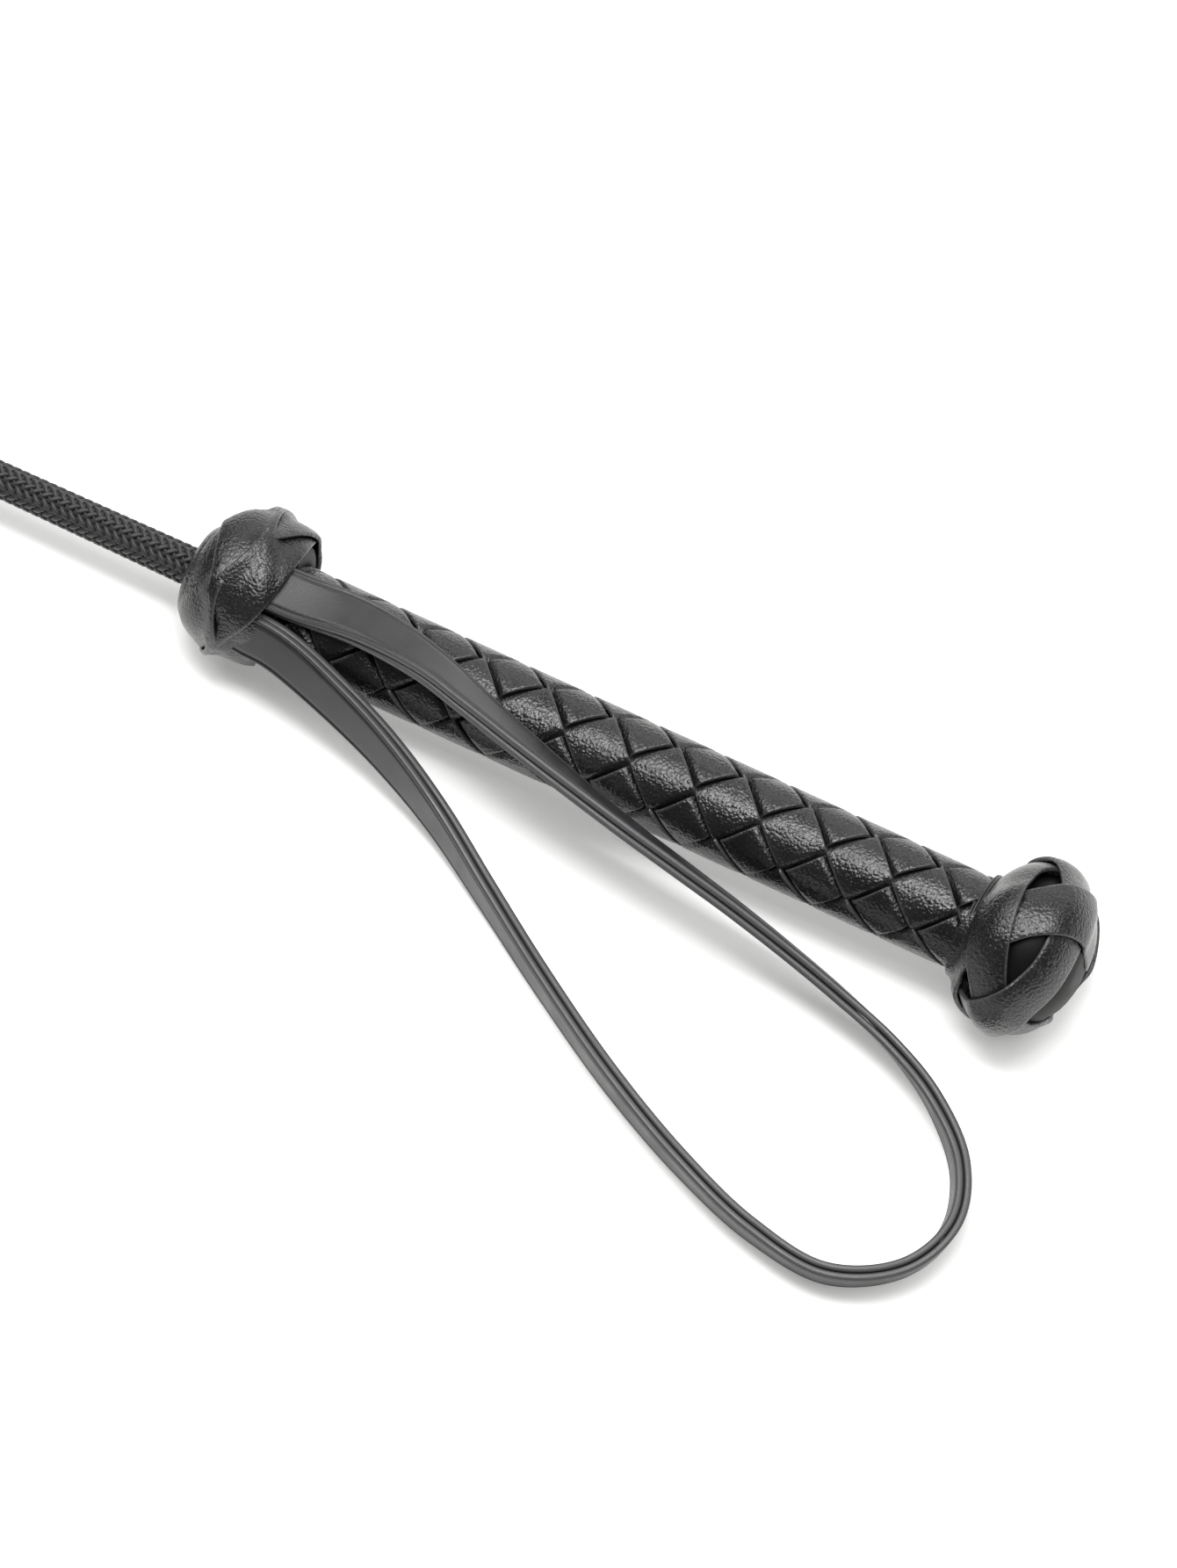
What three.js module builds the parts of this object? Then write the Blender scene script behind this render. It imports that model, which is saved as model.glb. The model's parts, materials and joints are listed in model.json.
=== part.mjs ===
// A riding crop at rest on a table: braided shaft, collar knot, wrist strap, plaited grip and pommel.
// Millimetres. The crop lies along X, tip towards -X and pommel towards +X, with the wrist strap
// on the -Y side, and +Z is up. Within the crop group, x = 0 is the middle of the collar knot.
import * as THREE from "three";

// Lengths along the crop, from the middle of the collar
const POMMEL_X = 173;
const SLEEVE_START_X = -404;
const SLEEVE_END_X = -6.6;
const ROD_START_X = -417;
const ROD_END_X = 160;
const CORE_START_X = -6;
const CORE_END_X = 161;
const PLAIT_START_X = 1;
const PLAIT_END_X = 159;

// How the crop lies: it rests on the pommel and on the collar
const POMMEL_RADIUS = 19;
const COLLAR_AXIS_HEIGHT = 14.6;
const TILT = Math.atan((POMMEL_RADIUS - 0.1 - COLLAR_AXIS_HEIGHT) / POMMEL_X);

// Rod, sleeve and handle core
const ROD_RADIUS = 1.9;
const ROD_TIP_RADIUS = 1.5;
const FIT_GAP = 0.3;
const SLEEVE_TIP_DIAMETER = 5;
const SLEEVE_SWELL = 3.1;
const SLEEVE_SWELL_LENGTH = 150;
const CORE_RADIUS = 7.2;

// Plait: four strands each way round, each over one and under one
const STRANDS_PER_HAND = 4;
const PLAIT_LEAD = 57.3;
const PLAIT_RADIUS = 8.85;
const PLAIT_WAVE = 0.65;
const STRAND_THICKNESS = 1.0;
const STRAND_SHARE = 0.84; // of the room that one strand has round the grip
const RIGHT_START_DEG = 65;
const LEFT_START_DEG = 56.2;

// Collar
const COLLAR_LENGTH = 22;
const COLLAR_EDGE_X = -COLLAR_LENGTH / 2;
const STRAP_SIDE_DEG = 34; // the side of the collar that the strap leaves from, from +Z towards -Y
const STRAP_SPREAD_DEG = 27;
const COLLAR_OFFSET = 1.2; // the knot sits off centre, over the strap ends
const COLLAR_KNOT_RADIUS = 14.4;
const COLLAR_BARREL = 80;
const BINDING_RADIUS = 12.2;
const BINDING_THICKNESS = 0.55;
const BINDING_LENGTH = 6;

// Knot strips
const KNOT_LEADS = 3;
const KNOT_THICKNESS = 1.0;
const KNOT_WAVE = 0.68;
const KNOT_WAVE_SHARPNESS = 3; // how fast a strip goes from over to under
const COLLAR_BIGHTS = 4;
const POMMEL_BIGHTS = 4;

// Wrist strap, two layers
const STRAP_WIDTH = 10;
const LAYER_THICKNESS = 1.4;
const LAYER_GAP = 0.4;
const TAB_THICKNESS = 1.6;
const TAB_INNER_RADIUS = 10.4;
const TAB_WIDTH = 9;
const TAB_START_X = -5.5;
const TAB_END_X = 10.8;
const STRAP_STEPS = 90;

// Pommel
const POMMEL_CORE_LENGTH = 18;
const POMMEL_CORE_RADIUS = 15.9;
const POMMEL_HALF_LENGTH = 13.2;
const POMMEL_ARC_RADIUS = 16; // turns a distance along the pommel's profile into an angle
const POMMEL_NECK_RADIUS = 12.6; // the knot's edge where it closes on the plait
const POMMEL_BINDING_START_X = 160.4;
const POMMEL_BINDING_END_X = 163.6;
const TACK_RADIUS = 1.1;
const TACK_HEAD_RADIUS = 4;

// Keeper at the tip
const KEEPER_ROOT_START_X = -418;
const KEEPER_ROOT_END_X = -404.4;
const KEEPER_START_X = -419.6;
const KEEPER_LENGTH = 48;
const KEEPER_NECK_WIDTH = 9;
const KEEPER_WIDTH = 22;
const LEAF_THICKNESS = 1.3;

const SEGMENTS = 28;

const LEATHER = new THREE.MeshStandardMaterial({ color: 0x17171a, roughness: 0.42, metalness: 0 });
const LINING = new THREE.MeshStandardMaterial({ color: 0x232326, roughness: 0.55, metalness: 0 });
const THREAD = new THREE.MeshStandardMaterial({ color: 0x1c1c1e, roughness: 0.8, metalness: 0 });
const FIBREGLASS = new THREE.MeshStandardMaterial({ color: 0xd8d4c4, roughness: 0.35, metalness: 0 });
const WOOD = new THREE.MeshStandardMaterial({ color: 0x9a7346, roughness: 0.7, metalness: 0 });
const RUBBER = new THREE.MeshStandardMaterial({ color: 0x303033, roughness: 0.85, metalness: 0 });
const STEEL = new THREE.MeshStandardMaterial({ color: 0xb8babd, roughness: 0.3, metalness: 1 });

const rad = THREE.MathUtils.degToRad;

function named(name, geometry, material) {
  const mesh = new THREE.Mesh(geometry, material);
  mesh.name = name;
  return mesh;
}

// Six times the volume inside a geometry; it is negative where the faces point in.
function signedVolume(geometry) {
  const position = geometry.getAttribute("position");
  const index = geometry.getIndex();
  const corner = [new THREE.Vector3(), new THREE.Vector3(), new THREE.Vector3()];
  let sum = 0;
  for (let i = 0; i < index.count; i += 3) {
    corner.forEach((c, k) => c.fromBufferAttribute(position, index.getX(i + k)));
    sum += corner[0].dot(corner[1].clone().cross(corner[2]));
  }
  return sum;
}

// A box of unit size cut into a grid, with each grid point moved to map(i, v, w): i counts the
// steps along it, and v and w run from -0.5 to 0.5 across its width and its thickness.
function bentBox(steps, widthSteps, map) {
  const geometry = new THREE.BoxGeometry(1, 1, 1, steps, widthSteps, 1);
  const position = geometry.getAttribute("position");
  for (let n = 0; n < position.count; n++) {
    const i = Math.round((position.getX(n) + 0.5) * steps);
    const p = map(i, position.getY(n), position.getZ(n));
    position.setXYZ(n, p.x, p.y, p.z);
  }
  if (signedVolume(geometry) < 0) {
    const index = geometry.getIndex();
    for (let i = 0; i < index.count; i += 3) {
      const first = index.getX(i);
      index.setX(i, index.getX(i + 1));
      index.setX(i + 1, first);
    }
  }
  geometry.computeVertexNormals();
  return geometry;
}

// A point at x along the crop, at a radius and an angle from +Z towards -Y.
function around(x, radius, angle) {
  return new THREE.Vector3(x, -radius * Math.sin(angle), radius * Math.cos(angle));
}

// A lathed solid about the crop's axis, from a closed outline of [x, radius] points.
function turned(outline, segments = SEGMENTS) {
  const points = [...outline, outline[0]].map(([x, r]) => new THREE.Vector2(r, x));
  return new THREE.LatheGeometry(points, segments).rotateZ(-Math.PI / 2);
}

// A turned solid with no hole, from its [x, radius] points between two points on the axis.
function turnedSolid(outline, segments = SEGMENTS) {
  const points = outline.map(([x, r]) => new THREE.Vector2(r, x));
  return new THREE.LatheGeometry(points, segments).rotateZ(-Math.PI / 2);
}

function ring(startX, endX, innerRadius, outerRadius) {
  return turned([
    [startX, innerRadius],
    [startX, outerRadius],
    [endX, outerRadius],
    [endX, innerRadius],
  ]);
}

function sleeveRadius(x) {
  const fromCollar = COLLAR_EDGE_X - x;
  return (SLEEVE_TIP_DIAMETER + SLEEVE_SWELL * Math.exp(-fromCollar / SLEEVE_SWELL_LENGTH)) / 2;
}

function coreRod() {
  return turnedSolid([
    [ROD_START_X, 0],
    [ROD_START_X, ROD_TIP_RADIUS - 0.4],
    [ROD_START_X + 0.6, ROD_TIP_RADIUS],
    [ROD_START_X + 120, ROD_RADIUS],
    [ROD_END_X, ROD_RADIUS],
    [ROD_END_X, 0],
  ], 16);
}

function shaftSleeve() {
  const stations = [SLEEVE_START_X, -330, -250, -180, -120, -80, -50, -28, COLLAR_EDGE_X];
  const outer = stations.map((x) => [x, sleeveRadius(x)]);
  outer.push([SLEEVE_END_X, sleeveRadius(COLLAR_EDGE_X)]);
  const boreRadius = ROD_RADIUS + FIT_GAP;
  return turned([[SLEEVE_START_X, boreRadius], ...outer, [SLEEVE_END_X, boreRadius]], 20);
}

function handleCore() {
  return ring(CORE_START_X, CORE_END_X, ROD_RADIUS + FIT_GAP, CORE_RADIUS);
}

// One strand of the plait. The two hands of helix make a lattice: "own" is the angle that stays
// the same along this strand, and "cross" the angle that stays the same along the other hand's.
function plaitStrand(hand, number) {
  const spacing = 360 / STRANDS_PER_HAND;
  const perMillimetre = 360 / PLAIT_LEAD;
  const ownStart = hand > 0 ? RIGHT_START_DEG : LEFT_START_DEG;
  const crossStart = hand > 0 ? LEFT_START_DEG : RIGHT_START_DEG;
  const own = ownStart + spacing * number;
  const crossAt = (x) => own - hand * 2 * perMillimetre * x;
  const limits = [crossAt(PLAIT_START_X), crossAt(PLAIT_END_X)].sort((a, b) => a - b);
  const first = Math.ceil((limits[0] - crossStart) / spacing);
  const last = Math.floor((limits[1] - crossStart) / spacing);
  const stations = [];
  for (let cell = first; cell <= last; cell++) {
    const over = (cell + number) % 2 === 0 ? hand : -hand;
    for (const part of [-0.5, 0, 0.5]) {
      const cross = crossStart + spacing * (cell + part * (STRAND_SHARE + 0.04));
      stations.push({ cross, radius: PLAIT_RADIUS + over * PLAIT_WAVE });
    }
  }
  return bentBox(stations.length - 1, 2, (i, v, w) => {
    const { cross, radius } = stations[i];
    const ownAngle = own + v * STRAND_SHARE * spacing;
    const x = (hand * (ownAngle - cross)) / (2 * perMillimetre);
    return around(x, radius + w * STRAND_THICKNESS, rad((ownAngle + cross) / 2));
  });
}

// A strip tied as a Turk's head with the given bights. surface(p) gives a profile's point and
// outward normal at the distance p along it from its middle, as x, r, nx and nr.
function knotStrip({ bights, reach, width, surface, steps, turn = 0 }) {
  const radius = surface(0).r;
  return bentBox(steps, 2, (i, v, w) => {
    const t = (i / steps) * (1 - 0.004);
    const phase = 2 * Math.PI * bights * t;
    const run = 2 * Math.PI * KNOT_LEADS * radius;
    const rise = -reach * Math.sin(phase) * 2 * Math.PI * bights;
    const slope = Math.atan2(rise, run);
    const side = v * width;
    const p = reach * Math.cos(phase) + side * Math.cos(slope);
    const at = surface(p);
    const angle = turn + 2 * Math.PI * KNOT_LEADS * t - (side * Math.sin(slope)) / radius;
    const wave = KNOT_WAVE * THREE.MathUtils.clamp(KNOT_WAVE_SHARPNESS * Math.sin(2 * phase), -1, 1);
    const out = wave + w * KNOT_THICKNESS;
    return around(at.x + at.nx * out, at.r + at.nr * out, angle);
  });
}

function collarKnot() {
  const surface = (p) => ({ x: p, r: COLLAR_KNOT_RADIUS - (p * p) / COLLAR_BARREL, nx: 0, nr: 1 });
  const knot = knotStrip({ bights: COLLAR_BIGHTS, reach: 6.3, width: 8, surface, steps: 96 });
  const shift = around(0, COLLAR_OFFSET, rad(STRAP_SIDE_DEG));
  return knot.translate(0, shift.y, shift.z);
}

function collarBuildUp() {
  const bore = sleeveRadius(COLLAR_EDGE_X) + FIT_GAP;
  return turned([
    [-10.6, bore],
    [-10.6, 8.2],
    [-8.6, 10.6],
    [-6.3, 10.9],
    [-6.3, bore],
  ]);
}

function collarBinding() {
  const shift = around(0, COLLAR_OFFSET, rad(STRAP_SIDE_DEG));
  const outer = BINDING_RADIUS + BINDING_THICKNESS;
  return ring(-BINDING_LENGTH / 2, BINDING_LENGTH / 2, BINDING_RADIUS, outer).translate(0, shift.y, shift.z);
}

// One end of the wrist strap, pared thin, where it lies on the plait under the collar.
function strapTab(side) {
  const angle = rad(STRAP_SIDE_DEG + side * STRAP_SPREAD_DEG);
  const length = TAB_END_X - TAB_START_X;
  const tab = new THREE.BoxGeometry(length, TAB_WIDTH, TAB_THICKNESS);
  tab.translate((TAB_START_X + TAB_END_X) / 2, 0, TAB_INNER_RADIUS + TAB_THICKNESS / 2);
  return tab.rotateX(angle);
}

// The wrist strap's middle line, hand-laid: x, y, z, and how far its top edge leans towards the
// inside of the loop, in degrees from upright. It runs from the upper end to the lower end.
const STRAP_ROUTE = [
  [12.7, -1.5, 26.8, 97],
  [27.5, -1.0, 27.9, 93],
  [43, -2.7, 28.6, 86],
  [54, -5.3, 28.7, 80],
  [66.6, -8.6, 28.2, 72],
  [80, -11.9, 26.7, 60],
  [93, -14.6, 24.2, 48],
  [105.5, -16.4, 20.8, 37],
  [117.5, -17.8, 16.8, 29],
  [130, -19.4, 12.7, 24],
  [143, -21.8, 9.2, 21],
  [156.5, -25.6, 6.7, 15],
  [168.5, -32.0, 5.6, 6],
  [179, -42.2, 5.3, -4],
  [182.8, -54.0, 5.3, -12],
  [178.5, -65.6, 5.3, -16],
  [166, -73.4, 5.3, -14],
  [149, -72.0, 5.3, -9],
  [130.5, -65.8, 5.3, -5],
  [110, -56.2, 5.3, -2],
  [88.5, -43.8, 5.4, 0],
  [71, -33.0, 6.3, 3],
  [55, -23.6, 8.8, 9],
  [40, -17.2, 12.8, 17],
  [25, -13.0, 17.4, 24],
  [12.7, -10.7, 20.9, 29],
];

function strapLayer(side) {
  const curve = new THREE.CatmullRomCurve3(
    STRAP_ROUTE.map(([x, y, z]) => new THREE.Vector3(x, y, z)), false, "centripetal");
  const leanAt = (t) => {
    const place = t * (STRAP_ROUTE.length - 1);
    const i = Math.min(Math.floor(place), STRAP_ROUTE.length - 2);
    return rad(THREE.MathUtils.lerp(STRAP_ROUTE[i][3], STRAP_ROUTE[i + 1][3], place - i));
  };
  const up = new THREE.Vector3(0, 0, 1);
  const stations = [];
  for (let i = 0; i <= STRAP_STEPS; i++) {
    const t = i / STRAP_STEPS;
    const along = curve.getTangent(t);
    const outward = up.clone().cross(along).normalize();
    const lean = leanAt(t);
    const across = up.clone().multiplyScalar(Math.cos(lean)).addScaledVector(outward, -Math.sin(lean));
    across.addScaledVector(along, -across.dot(along)).normalize();
    const face = across.clone().cross(along).normalize();
    stations.push({ point: curve.getPoint(t), across, face });
  }
  const offset = side * (LAYER_GAP + LAYER_THICKNESS) / 2;
  return bentBox(STRAP_STEPS, 1, (i, v, w) => {
    const { point, across, face } = stations[i];
    return point.clone().addScaledVector(across, v * STRAP_WIDTH)
      .addScaledVector(face, offset + w * LAYER_THICKNESS);
  });
}

function pommelCore() {
  const half = POMMEL_CORE_LENGTH / 2;
  const outline = [];
  for (let i = 0; i <= 8; i++) {
    const angle = rad(-65 + (130 * i) / 8);
    const x = POMMEL_X + (half * Math.sin(angle)) / Math.sin(rad(65));
    outline.push([x, POMMEL_CORE_RADIUS * Math.cos(angle)]);
  }
  const tackRoom = TACK_RADIUS + FIT_GAP;
  const bottom = POMMEL_X - half;
  const top = POMMEL_X + half;
  return turned([[bottom, tackRoom], ...outline, [top, tackRoom]]);
}

function pommelTack() {
  const top = POMMEL_X + POMMEL_CORE_LENGTH / 2 + FIT_GAP;
  return turnedSolid([
    [ROD_END_X + 0.6, 0],
    [ROD_END_X + 2.2, TACK_RADIUS],
    [top, TACK_RADIUS],
    [top, TACK_HEAD_RADIUS],
    [top + 0.7, TACK_HEAD_RADIUS - 0.6],
    [top + 1.0, 0],
  ], 16);
}

// Thread wound over the ends of the plait, where they run under the pommel.
function pommelBinding() {
  return ring(POMMEL_BINDING_START_X, POMMEL_BINDING_END_X, 10.4, 11.0);
}

function pommelKnot() {
  const middle = POMMEL_RADIUS - KNOT_WAVE - KNOT_THICKNESS / 2;
  const surface = (p) => {
    const angle = p / POMMEL_ARC_RADIUS;
    const r = Math.max(middle * Math.cos(angle), angle < 0 ? POMMEL_NECK_RADIUS : 0);
    const x = POMMEL_X + (POMMEL_HALF_LENGTH - 0.6) * Math.sin(angle);
    const normal = new THREE.Vector2((POMMEL_HALF_LENGTH) * Math.cos(angle), middle * Math.sin(angle));
    normal.normalize();
    return { x, r, nx: normal.y * 0.9, nr: Math.max(normal.x, 0.55) };
  };
  return knotStrip({
    bights: POMMEL_BIGHTS, reach: 12.3, width: 10, surface, steps: 120, turn: rad(10),
  });
}

function keeperRoot() {
  return turnedSolid([
    [KEEPER_ROOT_START_X - 0.3, 0],
    [KEEPER_ROOT_START_X - 0.3, 2.3],
    [KEEPER_ROOT_END_X, 2.3],
    [KEEPER_ROOT_END_X, ROD_RADIUS - 0.05],
    [ROD_START_X - 0.3, ROD_RADIUS - 0.05],
    [ROD_START_X - 0.3, 0],
  ], 20);
}

function keeperBinding() {
  return ring(KEEPER_ROOT_START_X, KEEPER_ROOT_END_X, 2.6, 3.3);
}

// One leather leaf of the keeper: a tongue, narrow at the binding and round at its end.
function keeperLeaf(side) {
  const neck = KEEPER_NECK_WIDTH / 2;
  const half = KEEPER_WIDTH / 2;
  const round = KEEPER_LENGTH - half;
  const outline = new THREE.Shape();
  outline.moveTo(0, -neck);
  outline.bezierCurveTo(-8, -neck, -10, -half, -20, -half);
  outline.lineTo(-round, -half);
  outline.absarc(-round, 0, half, -Math.PI / 2, Math.PI / 2, true);
  outline.lineTo(-20, half);
  outline.bezierCurveTo(-10, half, -8, neck, 0, neck);
  outline.closePath();
  const leaf = new THREE.ExtrudeGeometry(outline, {
    depth: LEAF_THICKNESS, bevelEnabled: false, curveSegments: 10,
  });
  const base = side > 0 ? FIT_GAP / 2 : -FIT_GAP / 2 - LEAF_THICKNESS;
  return leaf.translate(KEEPER_START_X, 0, base);
}

const object = new THREE.Group();

// Everything that is stiff lies along the crop's own axis, tilted a little with the crop.
const crop = new THREE.Group();
crop.position.z = COLLAR_AXIS_HEIGHT;
crop.rotation.y = -TILT;
crop.add(named("core_rod", coreRod(), FIBREGLASS));
crop.add(named("shaft_sleeve", shaftSleeve(), THREAD));
crop.add(named("handle_core", handleCore(), RUBBER));
for (let n = 0; n < STRANDS_PER_HAND; n++) {
  crop.add(named(`plait_strand_right_${n + 1}`, plaitStrand(1, n), LEATHER));
  crop.add(named(`plait_strand_left_${n + 1}`, plaitStrand(-1, n), LEATHER));
}
crop.add(named("collar_build_up", collarBuildUp(), RUBBER));
crop.add(named("collar_binding", collarBinding(), THREAD));
crop.add(named("collar_knot", collarKnot(), LEATHER));
crop.add(named("strap_tab_upper", strapTab(-1), LEATHER));
crop.add(named("strap_tab_lower", strapTab(1), LEATHER));
crop.add(named("pommel_core", pommelCore(), WOOD));
crop.add(named("pommel_tack", pommelTack(), STEEL));
crop.add(named("pommel_binding", pommelBinding(), THREAD));
crop.add(named("pommel_knot", pommelKnot(), LEATHER));
crop.add(named("keeper_root", keeperRoot(), LEATHER));
crop.add(named("keeper_binding", keeperBinding(), THREAD));
crop.add(named("keeper_leaf_upper", keeperLeaf(1), LEATHER));
crop.add(named("keeper_leaf_lower", keeperLeaf(-1), LEATHER));
object.add(crop);

// The wrist strap hangs off the crop and lies on the table.
const strap = new THREE.Group();
strap.add(named("wrist_strap_outer", strapLayer(1), LEATHER));
strap.add(named("wrist_strap_inner", strapLayer(-1), LINING));
object.add(strap);

// The finished part stands on z = 0, with its origin under the middle of its box.
object.updateMatrixWorld(true);
const box = new THREE.Box3().setFromObject(object, true);
const shift = box.getCenter(new THREE.Vector3()).setZ(box.min.z);
object.position.sub(shift);

export default object;
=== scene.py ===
import json
import math

import bpy
import numpy as np
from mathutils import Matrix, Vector


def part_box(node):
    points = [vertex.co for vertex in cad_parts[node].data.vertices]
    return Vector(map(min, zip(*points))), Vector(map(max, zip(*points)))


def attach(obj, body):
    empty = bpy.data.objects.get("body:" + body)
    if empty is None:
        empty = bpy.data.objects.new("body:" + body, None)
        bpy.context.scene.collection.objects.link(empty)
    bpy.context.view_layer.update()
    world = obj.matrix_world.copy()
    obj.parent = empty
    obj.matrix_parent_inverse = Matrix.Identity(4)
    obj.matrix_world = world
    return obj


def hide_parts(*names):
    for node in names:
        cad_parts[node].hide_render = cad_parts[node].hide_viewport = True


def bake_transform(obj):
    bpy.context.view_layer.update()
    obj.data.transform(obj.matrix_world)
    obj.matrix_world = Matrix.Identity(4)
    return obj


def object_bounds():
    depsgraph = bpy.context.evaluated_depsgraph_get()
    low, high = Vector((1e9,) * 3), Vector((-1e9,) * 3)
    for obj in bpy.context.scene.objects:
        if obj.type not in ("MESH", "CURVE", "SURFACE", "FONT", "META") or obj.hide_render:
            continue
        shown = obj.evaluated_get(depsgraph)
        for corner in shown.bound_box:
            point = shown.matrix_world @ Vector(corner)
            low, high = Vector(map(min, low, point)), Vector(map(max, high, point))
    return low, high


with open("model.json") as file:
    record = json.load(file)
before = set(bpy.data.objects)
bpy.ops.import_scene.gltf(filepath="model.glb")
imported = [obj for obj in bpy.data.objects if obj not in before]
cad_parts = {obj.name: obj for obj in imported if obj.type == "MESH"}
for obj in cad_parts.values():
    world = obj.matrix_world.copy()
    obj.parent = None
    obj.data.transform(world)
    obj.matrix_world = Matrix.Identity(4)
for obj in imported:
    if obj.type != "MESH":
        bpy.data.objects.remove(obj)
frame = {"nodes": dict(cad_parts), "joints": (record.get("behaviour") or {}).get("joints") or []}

cad_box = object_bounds()
MM = 0.001
random = np.random.default_rng(7)

# ------------------------------------------------------------------ the crop's own frame
# The crop's axis runs from the keeper's hinge to the middle of the pommel core. Along it, x is
# counted from the middle of the collar, and angles go from straight up towards -Y.
POMMEL_X = 173.0
KEEPER_START_X = -419.6
joint = {j["name"]: j for j in frame["joints"]}
core_low, core_high = (np.array(c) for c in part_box("pommel_core"))
keeper_hinge = np.array(joint["keeper_flap"]["pos_m"])
pommel_centre = (core_low + core_high) / 2
AXIS = (pommel_centre - keeper_hinge) / np.linalg.norm(pommel_centre - keeper_hinge)
SIDE = np.array([0.0, -1.0, 0.0])
UP = np.cross(SIDE, AXIS)
COLLAR = pommel_centre - AXIS * POMMEL_X * MM
STRAP_SIDE = math.radians(34)  # between the strap's two ends


def crop_points(x, radius, angle):
    """Points in the row frame, in metres, from arrays of x, radius and angle in the crop's frame."""
    x, radius, angle = np.broadcast_arrays(x, radius, angle)
    return (
        COLLAR
        + np.multiply.outer(x * MM, AXIS)
        + np.multiply.outer(radius * np.sin(angle) * MM, SIDE)
        + np.multiply.outer(radius * np.cos(angle) * MM, UP)
    )


# ------------------------------------------------------------------ meshes
def mesh_piece(name, points, faces, material, body="crop", edge=None, strip=None):
    """A piece from its points and faces, riding on a body.

    edge is 1 where leather is cut, which is painted paler with a painted highlight; strip is each
    point's place along and across its strip, in mm.
    """
    mesh = bpy.data.meshes.new(name)
    mesh.from_pydata([tuple(p) for p in points], [], [tuple(f) for f in faces])
    mesh.validate()
    mesh.shade_smooth()
    if strip is not None:
        layer = mesh.attributes.new("strip_place", "FLOAT_VECTOR", "POINT")
        layer.data.foreach_set("vector", np.asarray(strip, np.float32).ravel())
    if edge is not None:
        layer = mesh.attributes.new("cut_edge_and_highlight", "FLOAT", "POINT")
        layer.data.foreach_set("value", np.asarray(edge, np.float32))
    mesh.materials.append(material)
    piece = bpy.data.objects.new(name, mesh)
    bpy.context.scene.collection.objects.link(piece)
    if body:
        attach(piece, body)
    return piece


def face_out(points, faces):
    """The faces, turned round if they enclose a negative volume."""
    halves = np.array([f[:3] for f in faces] + [(f[0], *f[2:]) for f in faces if len(f) == 4])
    a, b, c = (points[halves[:, k]] - points.mean(0) for k in range(3))
    inside = np.einsum("ij,ij->i", a, np.cross(b, c)).sum()
    return faces if inside > 0 else [f[::-1] for f in faces]


def swept(rings, closed=False):
    """Points and faces of a solid from its rings, an array (stations, ring points, 3)."""
    count, size = rings.shape[:2]
    points = rings.reshape(-1, 3)
    spans = count if closed else count - 1
    faces = []
    for i in range(spans):
        a, b = i * size, ((i + 1) % count) * size
        for k in range(size):
            n = (k + 1) % size
            faces.append((a + k, a + n, b + n, b + k))
    if not closed:
        faces += end_cap(0, size) + [f[::-1] for f in end_cap((count - 1) * size, size)]
    return points, face_out(points, faces)


def end_cap(first, size):
    """Faces across a flat ring of points, which starts at one side."""
    half = size // 2
    faces = []
    for k in range(half - 1):
        top = (first + k, first + k + 1)
        low = (first + (size - k - 2) % size, first + (size - k - 1) % size)
        faces.append((top[1], top[0], low[1], low[0]))
    if size % 2:
        faces.append((first + half + 1, first + half, first + half - 1))
    return faces


# A leather strip's cross-section: place across it from -0.5 to 0.5, height in thicknesses, and
# how much it is cut edge, painted paler with a painted highlight. It is crowned, its corners are
# rounded and its back is flat.
STRIP_SECTION = np.array(
    [
        (-0.500, 0.25, 1.0), (-0.499, 0.70, 1.0), (-0.492, 0.90, 0.8), (-0.472, 0.965, 0.3),
        (-0.430, 0.975, 0), (-0.300, 0.985, 0), (-0.150, 0.995, 0), (0.000, 1.0, 0),
        (0.150, 0.995, 0), (0.300, 0.985, 0), (0.430, 0.975, 0), (0.472, 0.965, 0.3),
        (0.492, 0.90, 0.8), (0.499, 0.70, 1.0), (0.500, 0.25, 1.0), (0.480, 0.0, 0.3),
        (0.240, 0.0, 0), (0.080, 0.0, 0), (-0.080, 0.0, 0), (-0.240, 0.0, 0), (-0.480, 0.0, 0.3),
    ]
)
# A yarn's cross-section, without the cut edges.
YARN_SECTION = np.array([(-0.5, 0.1), (-0.33, 0.75), (0.0, 1.0), (0.33, 0.75), (0.5, 0.1)])


def weave(phase, sharpness, dip):
    """A wave from -1 to 1 that stays near each limit, longer at -1 by dip, and turns fast between."""
    return np.tanh(sharpness * (np.cos(phase) - dip)) / math.tanh(sharpness)


DRIFT_PLACES, SWELL_PLACES = 14, 19  # at how many places along it a strand strays and swells


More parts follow.
